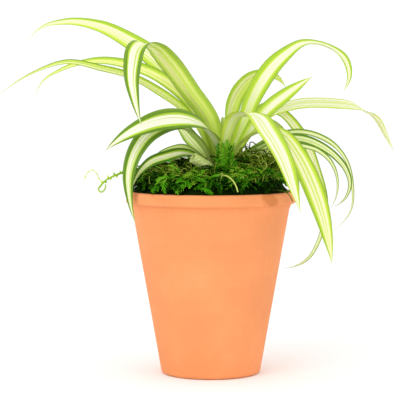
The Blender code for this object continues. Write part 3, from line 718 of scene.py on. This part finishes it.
def strand_object(name, groups, made_of, sides=3):
    """Join groups of strands into one mesh; each group is (paths, radii, shade)."""
    points, quads, ends, marks, quad_uvs, end_uvs = [], [], [], [], [], []
    used = 0
    for number, (paths, radii, shade) in enumerate(groups):
        strands, count = paths.shape[:2]
        points.append(tube_points(paths, radii, sides))
        sheets, caps = ring_faces(strands, count, sides)
        quads.append(sheets + used)
        ends.append(caps + used)
        used += strands * count * sides
        place = np.tile(np.repeat(np.linspace(0.0, 1.0, count), sides), strands)
        marks.append(np.stack([np.repeat(shade, count * sides), place,
                               np.zeros_like(place)], axis=-1))
        for part, uvs in zip((quad_uvs, end_uvs), strand_uvs(strands, count, sides)):
            # each group has its own band of the bake image
            uvs[:, 1] = (uvs[:, 1] + number) / len(groups)
            part.append(uvs)
    return mesh_object(name, np.concatenate(points),
                       [np.concatenate(quads), np.concatenate(ends)], made_of,
                       {"strand": np.concatenate(marks)}, np.concatenate(quad_uvs + end_uvs))


# ---------------------------------------------------------------- moss

# Places of what grows round the crown, and of the brown marks on the pot's rim; the one at the
# left front is a painted shadow of the leaf that hangs over the rim
RIM_STAINS_AND_SHADOW = ((40, -44, 7), (-53, -27, 3), (20, 56, 4))  # x, y and reach
CUSHIONS = ((-8, -42, 9), (20, -33, 9), (-26, -36, 6), (30, 22, 12), (-20, 34, 12),
            (44, -8, 8))  # x, y and reach of the freshest moss
HEAPS = (  # x, y, spread, height and number of runners
    (35, 0, 9, 13, 300), (-43, -8, 7, 7, 170), (0, -14, 25, 4, 260),
    (-5, 34, 12, 8, 130), (-35, -27, 8, 5, 150), (32, -30, 8, 4, 110))
HEAP_REACH = 46.0  # roots of the runners stay within this radius
MAT_RADIUS = INNER_RADIUS - 0.7
MAT_FOOT = 119.0  # height of its hidden lower edge
# The mound's profile: how far its surface is above its top, at these radii
BED_RADII = (0.0, 18.0, 30.0, 41.0, 47.5, 51.5, 54.2)
BED_HEIGHTS = (-1.0, 0.0, -1.5, -4.2, -7.8, -11.0, -14.8)

# Middle lines of the pieces that have one
CUT_BASE = ((1.5, -20.5, 144.5), (-5.5, -24.0, 148.8), (-12.4, -27.0, 153.4))
RUNNER_OVER_RIM = ((40, -34, 131.0), (45, -36.5, 131.6), (50, -35.5, 130.6),
                   (54, -30.5, 127.6), (56.4, -26.5, 123.0))
TENDRIL = ((-50, -2, 139), (-58, -4, 144.5), (-63, -6, 142), (-69, -8, 139.5),
           (-73, -9, 137.4), (-77, -9, 133.5), (-79, -9.5, 130.5), (-77, -10, 128.6),
           (-74.5, -9.5, 130.5), (-74, -9, 134))
TENDRIL_THREAD = ((-76, -9, 134.5), (-78.5, -9, 138), (-80, -9, 141.5), (-83.5, -9, 144.2),
                  (-86.6, -9, 142), (-88.6, -9, 137))
SEEDLING_STALK = ((6, -44, 139), (9, -49, 142), (13, -54, 140.5), (16, -58, 137),
                  (18, -60.5, 131.5))


def bed_height(x, y):
    """Height of the moss bed's surface: a mound with a hollow in front of the crown."""
    radius = np.hypot(x, y)
    hollow = np.exp(-((x + 8.0) ** 2 + (y + 25.0) ** 2) / 90.0)
    return MOSS_TOP - 0.8 + np.interp(radius, BED_RADII, BED_HEIGHTS) - 5.0 * hollow


def direction(rise, heading):
    """Unit vectors at these angles above level and with these headings round Z."""
    return np.stack([np.cos(rise) * np.cos(heading), np.cos(rise) * np.sin(heading),
                     np.sin(rise)], axis=-1)


def keep_in_pot(paths):
    """Draw in the strands so that none passes through the pot's wall."""
    radius = np.hypot(paths[..., 0], paths[..., 1])
    # a strand above the rim may lie on it, but not hang over its edge
    low = paths[..., 2] < POT_HEIGHT + 0.6
    limit = np.where(low, INNER_RADIUS - 0.6, RIM_RADIUS - 1.0)
    paths[..., :2] *= np.minimum(1.0, limit / np.maximum(radius, 1e-6))[..., None]
    return paths


GOLDEN_ANGLE = 2.4  # in radians, between one shoot and the next


def fronds(rng, roots, headings, lengths, rises, spread=0.36, droop=1.5, pairs=9,
           round_about=False):
    """Feathery fronds: stems with rows of side shoots, longest a third of the way up.

    The shoots lie in two rows, or stand all round the stem if round_about is set.
    """
    count = len(roots)
    nodes = 2 * pairs + 1
    t = np.linspace(0.0, 1.0, nodes)
    bend = rises[:, None] - droop * t[None, :] * rng.uniform(0.5, 1.2, (count, 1))
    swing = headings[:, None] + rng.uniform(-0.9, 0.9, (count, 1)) * t[None, :]
    moves = direction(bend, swing) * (lengths / (nodes - 1))[:, None, None]
    stems = roots[:, None] + np.cumsum(moves, axis=1) - moves[:, :1]
    along = unit(np.gradient(stems, axis=1))
    flat = unit(np.cross(along, np.array([0.05, 0.0, 1.0])))
    tilt = rng.uniform(-0.7, 0.7, (count, 1, 1))
    flat = unit(flat + np.cross(flat, along) * tilt)
    shoots = []
    steps = np.linspace(0.0, 1.0, 6)
    for number in range(2 * pairs):
        side = flat[:, number] * (1.0 if number % 2 else -1.0)
        if round_about:
            turn = GOLDEN_ANGLE * number
            side = (flat[:, number] * math.cos(turn)
                    + np.cross(flat[:, number], along[:, number]) * math.sin(turn))
        place = t[number]
        reach = lengths * spread * (0.35 + 1.9 * place * (1.0 - place)) * (1.0 - 0.5 * place)
        reach = reach * rng.uniform(0.7, 1.2, count)
        aim = unit(along[:, number] * 0.8 + side + rng.uniform(-0.2, 0.2, (count, 3)))
        curl = along[:, number] * 0.5 + np.array([0.0, 0.0, -0.25])
        path = (stems[:, number, None] + aim[:, None] * (reach[:, None] * steps)[..., None]
                + curl[:, None] * (reach[:, None] * steps**2)[..., None] * 0.4)
        shoots.append(path)
    return stems, np.concatenate(shoots)


def scaly(rng, count, points, radius, tip=0.3):
    """Radii along shoots: alternate thick and thin, as if clothed in tiny leaves."""
    t = np.linspace(0.0, 1.0, points)
    beat = np.where(np.arange(points) % 2, 1.3, 0.65)
    return radius * rng.uniform(0.8, 1.2, (count, 1)) * beat * (1.0 - (1.0 - tip) * t**2)


def frond_groups(rng, roots, headings, lengths, rises, shade, radius, **shape):
    """Stems and side shoots of many fronds, ready for strand_object."""
    stems, shoots = fronds(rng, roots, headings, lengths, rises, **shape)
    stems, shoots = keep_in_pot(stems), keep_in_pot(shoots)
    times = len(shoots) // len(stems)
    return [(stems, scaly(rng, len(stems), stems.shape[1], radius), shade),
            (shoots, scaly(rng, len(shoots), shoots.shape[1], radius * 0.9),
             np.tile(shade, times) + rng.uniform(-0.12, 0.12, len(shoots)))]


def scatter(rng, count, inner=0.0, outer=1.0):
    """Random places on the bed, even by area, with their surface heights."""
    radius = (MOSS_RADIUS - 1.5) * np.sqrt(rng.uniform(inner**2, outer**2, count))
    angle = rng.uniform(0.0, 2.0 * math.pi, count)
    x, y = radius * np.cos(angle), radius * np.sin(angle)
    return np.stack([x, y, bed_height(x, y)], axis=-1)


def patch_value(points, size, seed):
    """Smooth random value, near -1 to 1, for patches about size millimetres wide."""
    return np.array([noise.noise(Vector((p[0] / size, p[1] / size, seed))) for p in points])


# ---------------------------------------------------------------- operators


class SPIDERPLANT_OT_pot(bpy.types.Operator):
    """Give the pot its fired clay finish"""

    bl_idname = "spider_plant.pot"
    bl_label = "Terracotta pot"

    def execute(self, context):
        dress("pot", terracotta_material())
        return {"FINISHED"}


class SPIDERPLANT_OT_soil(bpy.types.Operator):
    """Give the soil its damp crumbs"""

    bl_idname = "spider_plant.soil"
    bl_label = "Potting soil"

    def execute(self, context):
        dress("soil", soil_material())
        return {"FINISHED"}


class SPIDERPLANT_OT_crown(bpy.types.Operator):
    """Give the crown its fibrous skin and make the cut leaf base"""

    bl_idname = "spider_plant.crown"
    bl_label = "Crown and cut leaf base"

    def execute(self, context):
        stem = stem_material()
        dress("crown", stem)
        count = 14
        line = smooth_curve(CUT_BASE, count)[0]
        upward, sideways = blade_frames(line, (0.0, 0.0))
        # seven faint ribs run along the flattened base
        steps = 20
        rib = 1.0 + 0.015 * np.cos(7.0 * 2.0 * math.pi * np.arange(steps) / steps)
        wide, tall = (circle(steps) * rib[:, None]).T[:, :, None]
        rings = []
        # the skin runs out to the cut end, then a little way back inside the hollow
        outside = [(k, 1.0) for k in range(count)]
        inside = [(k, 0.7) for k in range(count - 1, 9, -1)]
        for k, share in outside + inside:
            swell = share * (4.4 + 0.3 * math.sin(math.pi * k / (count - 1)))
            rings.append(line[k] + swell * (wide * sideways[k] + 0.85 * tall * upward[k]))
        item = mesh_object("cut_leaf_base", np.array(rings).reshape(-1, 3),
                           ring_faces(1, len(rings), steps), stem)
        finish_piece(item, ["cut_leaf_stub"])
        return {"FINISHED"}


class SPIDERPLANT_OT_moss(bpy.types.Operator):
    """Grow the moss: its mat painted near-black as shade, feathery fronds and wiry runners"""

    bl_idname = "spider_plant.moss"
    bl_label = "Moss"

    def execute(self, context):
        rng = np.random.default_rng(11)
        # the near-black low ends of the mat's and the fronds' scales are painted shade: all of the
        # mat, under the fronds, and the darkest parts of the fronds
        deep = moss_material("moss_mat_shaded", [
            (0.0, "#060d00"), (0.5, "#142a02"), (1.0, "#2c4a08")])
        fresh = moss_material("moss_fronds_fresh", [
            (0.0, "#050c00"), (0.30, "#173802"), (0.49, "#2d6a05"),
            (0.73, colours().moss_fresh), (1.0, "#84b42c")])
        aged = moss_material("moss_runners_aged", [
            (0.0, "#1c3205"), (0.42, "#52700f"), (0.74, "#809626"), (1.0, "#b0bf58")])
        self.make_mat(deep)
        self.make_fronds(rng, fresh)
        self.make_runners(rng, aged)
        self.make_sprig(rng, fresh)
        self.make_tendril(rng)
        self.make_stalk()
        return {"FINISHED"}

    def make_mat(self, made_of):
        """The matted lower layer: a lumpy cushion that fills the pot's mouth, painted near-black
        as shade under the fronds.
        """
        rings, steps = 34, 120
        points = np.zeros((rings + 1, steps, 3))
        for row, ring in enumerate(points):
            # the first two rings stand above each other, as the cushion's side
            radius = MAT_RADIUS * (1.0 - max(row - 1, 0) / (rings - 1)) ** 0.8
            ring[:, :2] = radius * circle(steps)
            ring[:, 2] = bed_height(ring[:, 0], ring[:, 1]) if row else MAT_FOOT
            if row > 1:
                for point in ring:
                    spot = Vector((point[0] / 5.0, point[1] / 5.0, 2.0))
                    point[2] += 1.6 * noise.noise(spot) + 0.8 * noise.noise(spot * 3.1) - 1.0
        points[-1, :, :2] = 0.3 * circle(steps)
        points[-1, :, 2] = points[-2, :, 2].mean()
        item = mesh_object("moss_mat", points.reshape(-1, 3),
                           ring_faces(1, rings + 1, steps), made_of,
                           {"strand": np.tile((0.2, 0.0, 0.0), ((rings + 1) * steps, 1))})
        finish_piece(item, ["moss_bed"])

    def make_fronds(self, rng, made_of):
        """Feathery fronds that lie over one another; the freshest form cushions."""
        count = sizes().frond_count
        length = sizes().frond_length / MM
        radius = sizes().strand_radius / MM
        for name, seed, lift in (("moss_fronds_lower", 3.0, 0.0), ("moss_fronds_middle", 8.0, 1.5),
                                 ("moss_fronds_upper", 5.0, 3.0)):
            # half as many again, short and fresh, stand just inside the rim
            roots = np.concatenate([scatter(rng, count), scatter(rng, count // 2, 0.84, 0.97)])
            fresh = 0.7 * patch_value(roots, 15.0, seed)
            for x, y, size in CUSHIONS:
                near = np.exp(-((roots[:, 0] - x) ** 2 + (roots[:, 1] - y) ** 2) / size**2)
                fresh = np.maximum(fresh, 1.05 * near)
            total = len(roots)
            roots[:, 2] += rng.uniform(-1.0, 1.0, total) + lift * (0.3 + np.maximum(fresh, 0.0))
            headings = np.arctan2(roots[:, 1], roots[:, 0]) + rng.normal(0.0, 1.2, total)
            rises = rng.uniform(0.1, 1.0, total)
            lengths = length * rng.uniform(0.55, 1.15, total)
            lengths[count:] *= 0.6
            fresh[count:] += 0.12
            roots[count:, 2] += 1.5
            shade = fresh + rng.uniform(-0.12, 0.12, total)
            groups = frond_groups(rng, roots, headings, lengths, rises, shade, radius)
            finish_piece(strand_object(name, groups, made_of))

    def make_runners(self, rng, made_of):
        """Wiry old runners that loop above the fronds, heaped at the right and left."""
        points = 20
        t = np.linspace(0.0, 1.0, points)
        groups = []
        for x, y, spread, height, count in HEAPS:
            roots = np.stack([rng.normal(x, spread, count), rng.normal(y, spread, count),
                              np.zeros(count)], axis=-1)
            far = np.hypot(roots[:, 0], roots[:, 1])
            roots *= np.minimum(1.0, HEAP_REACH / np.maximum(far, 1.0))[:, None]
            roots[:, 2] = bed_height(roots[:, 0], roots[:, 1]) + rng.uniform(0, height, count)
            heading = rng.uniform(0.0, 2.0 * math.pi, count)
            curl = rng.normal(0.0, 3.0, count)
            rise = rng.uniform(0.0, 1.2, count)
            length = rng.uniform(9.0, 16.0 + height, count)
            swing = heading[:, None] + curl[:, None] * t + 0.6 * np.sin(
                9.0 * t[None, :] + rng.uniform(0.0, 6.0, (count, 1)))
            bend = rise[:, None] * (1.0 - 2.6 * t[None, :]) + 0.6 * np.sin(
                7.0 * t[None, :] + rng.uniform(0.0, 6.0, (count, 1)))
            move = direction(bend, swing) * (length[:, None, None] / (points - 1))
            paths = roots[:, None] + np.cumsum(move, axis=1)
            bed = bed_height(paths[..., 0], paths[..., 1])
            paths[..., 2] = np.maximum(paths[..., 2], bed - 1.0)
            radii = rng.uniform(0.2, 0.45, (count, 1)) * np.where(
                np.arange(points) % 2, 1.25, 0.8) * (1.0 - 0.6 * t**3)
            groups.append((keep_in_pot(paths), radii, rng.uniform(-0.1, 0.8, count)))
        over_rim = smooth_curve(RUNNER_OVER_RIM, points)[0]
        groups.append((over_rim[None], np.full((1, points), 0.36), np.array([0.05])))
        finish_piece(strand_object("moss_runners", groups, made_of, sides=4))

    def make_sprig(self, rng, made_of):
        """The upright feathery sprig in front of the crown."""
        low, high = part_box("moss_sprig")
        centre = (low + high) / (2.0 * MM)
        count = 64
        offset = np.clip(rng.normal(0.0, 0.5, count), -1.0, 1.0)
        roots = np.stack([centre.x + offset * 4.5, centre.y + rng.uniform(-5.0, 3.0, count),
                          low.z / MM - rng.uniform(4.0, 7.0, count)], axis=-1)
        lengths = (26.0 - 10.0 * np.abs(offset) ** 1.3) * rng.uniform(0.4, 1.0, count)
        # four fronds stand out above the rest
        lengths[:4] = (25.0, 26.0, 24.0, 22.0)
        headings = rng.uniform(0.0, 2.0 * math.pi, count)
        rises = 1.55 - 0.25 * np.abs(offset)
        shade = rng.uniform(0.3, 0.85, count)
        groups = frond_groups(rng, roots, headings, lengths, rises, shade,
                              1.35 * sizes().strand_radius / MM, spread=0.24, droop=0.25,
                              pairs=16, round_about=True)
        finish_piece(strand_object("moss_sprig_upright", groups, made_of),
                     ["moss_sprig"])

    def make_tendril(self, rng):
        """The tendril over the left of the rim, with its tiny leaves and fine thread."""
        lime = moss_material("moss_tendril_young", [
            (0.0, "#4f8a10"), (0.5, "#8fc020"), (1.0, "#d3e85a")])
        stem = smooth_curve(TENDRIL, 40)[0]
        thread = smooth_curve(TENDRIL_THREAD, 24)[0]
        leaves = []
        for k in range(4, 30, 2):
            side = 1.0 if (k // 2) % 2 else -1.0
            aim = np.array([rng.uniform(-0.9, 0.2), rng.uniform(-0.6, 0.6), side])
            tip = stem[k] + unit(aim) * rng.uniform(1.6, 3.2)
            leaves.append(np.linspace(stem[k], tip, 4))
        groups = [(stem[None], np.full((1, 40), 0.7) * np.linspace(1.2, 0.7, 40), np.array([0.3])),
                  (thread[None], np.where(np.arange(24) % 4 < 2, 0.42, 0.2)[None],
                   np.array([0.8])),
                  (np.array(leaves), np.tile((0.35, 0.75, 0.55, 0.12), (len(leaves), 1)),
                   rng.uniform(0.1, 0.7, len(leaves)))]
        finish_piece(strand_object("moss_tendril_looped", groups, lime, sides=6),
                     ["moss_tendril"])

    def make_stalk(self):
        """The bent stalk of a seedling in the moss."""
        pale = moss_material("seedling_stalk_young", [
            (0.0, "#7fa02c"), (0.5, "#a9bf4c"), (1.0, "#cdd67a")])
        stalk = smooth_curve(SEEDLING_STALK, 30)[0]
        radii = 0.75 * (1.0 - 0.45 * np.linspace(0.0, 1.0, 30))
        groups = [(stalk[None], radii[None], np.array([0.4]))]
        finish_piece(strand_object("seedling_stalk_curved", groups, pale, sides=8),
                     ["seedling_stalk"])


class SPIDERPLANT_OT_leaves(bpy.types.Operator):
    """Make every leaf of the plant"""

    bl_idname = "spider_plant.leaves"
    bl_label = "Leaves"

    def execute(self, context):
        made_of = leaf_material()
        for number, (name, leaf) in enumerate(LEAVES.items(), start=1):
            leaf_piece(name, leaf, leaf.get("pattern", number), made_of)
        return {"FINISHED"}


# The stage is set in metres, with its angles in degrees
FLOOR_REACH = 20.0
FLOOR_GAP = 0.0002
SKY_STRENGTH = 1.08
SOFTBOX_SIZE = 0.9
SOFTBOXES = (("key_softbox", (-0.7, -1.1, 1.0), 6.0),
             ("fill_softbox", (0.9, -0.8, 0.5), 1.5))  # name, place and watts
LIGHT_TARGET = (0.0, 0.0, 0.14)
CAMERA_PLACE = (-0.002, -1.1, 0.1895)
CAMERA_TILT = 3.78
FOCAL_LENGTH = 134.65  # in millimetres


class SPIDERPLANT_OT_stage(bpy.types.Operator):
    """Set the pale floor, the soft lights and the camera"""

    bl_idname = "spider_plant.stage"
    bl_label = "Stage"

    def execute(self, context):
        scene = context.scene
        scene.view_settings.view_transform = "Standard"
        paper = MaterialNodes("paper_sweep_white", 0.9, 1.45)
        paper.set("Base Color", (0.96, 0.96, 0.96, 1.0))
        mesh = bpy.data.meshes.new("floor")
        mesh.from_pydata([(x * FLOOR_REACH, y * FLOOR_REACH, 0.0)
                          for x, y in ((-1, -1), (1, -1), (1, 1), (-1, 1))], [], [(0, 1, 2, 3)])
        mesh.materials.append(paper.material)
        floor = self.put("floor", mesh, (0.0, 0.0, -FLOOR_GAP))

        world = bpy.data.worlds.new("soft_white_room")
        scene.world = world
        world.use_nodes = True
        sky = world.node_tree.nodes["Background"]
        sky.inputs["Color"].default_value = (1.0, 1.0, 1.0, 1.0)
        sky.inputs["Strength"].default_value = SKY_STRENGTH

        for name, place, power in SOFTBOXES:
            lamp = bpy.data.lights.new(name, "AREA")
            lamp.size = SOFTBOX_SIZE
            lamp.energy = power
            aim = Vector(LIGHT_TARGET) - Vector(place)
            self.put(name, lamp, place).rotation_euler = aim.to_track_quat("-Z", "Y").to_euler()

        view = bpy.data.cameras.new("camera")
        view.lens = FOCAL_LENGTH
        view.clip_end = 50.0
        scene.camera = self.put("camera", view, CAMERA_PLACE)
        scene.camera.rotation_euler = (math.radians(90.0 - CAMERA_TILT), 0.0, 0.0)
        return {"FINISHED"}

    def put(self, name, data, place):
        """A new object of the stage at its place."""
        item = bpy.data.objects.new(name, data)
        bpy.context.scene.collection.objects.link(item)
        item.location = place
        return item


class SPIDERPLANT_PT_panel(bpy.types.Panel):
    """Lists the plant's sizes, colours and pieces"""

    bl_idname = "SPIDERPLANT_PT_panel"
    bl_label = "Spider Plant"
    bl_space_type = "VIEW_3D"
    bl_region_type = "UI"
    bl_category = "Spider Plant"

    def draw(self, context):
        for group in (context.scene.spider_plant_sizes, context.scene.spider_plant_colours):
            box = self.layout.box()
            for key in group.__annotations__:
                box.prop(group, key)
        for piece in PIECES:
            self.layout.operator(piece.bl_idname)


PIECES = (SPIDERPLANT_OT_pot, SPIDERPLANT_OT_soil, SPIDERPLANT_OT_crown, SPIDERPLANT_OT_moss,
          SPIDERPLANT_OT_leaves, SPIDERPLANT_OT_stage)
CLASSES = (SpiderPlantSizes, SpiderPlantColours, *PIECES, SPIDERPLANT_PT_panel)


def register():
    for item in CLASSES:
        bpy.utils.register_class(item)
    bpy.types.Scene.spider_plant_sizes = bpy.props.PointerProperty(type=SpiderPlantSizes)
    bpy.types.Scene.spider_plant_colours = bpy.props.PointerProperty(type=SpiderPlantColours)


def unregister():
    del bpy.types.Scene.spider_plant_colours
    del bpy.types.Scene.spider_plant_sizes
    for item in reversed(CLASSES):
        bpy.utils.unregister_class(item)


def main():
    register()
    bpy.ops.spider_plant.pot()
    bpy.ops.spider_plant.soil()
    bpy.ops.spider_plant.crown()
    bpy.ops.spider_plant.moss()
    bpy.ops.spider_plant.leaves()
    bpy.ops.spider_plant.stage()


if __name__ == "__main__":
    main()
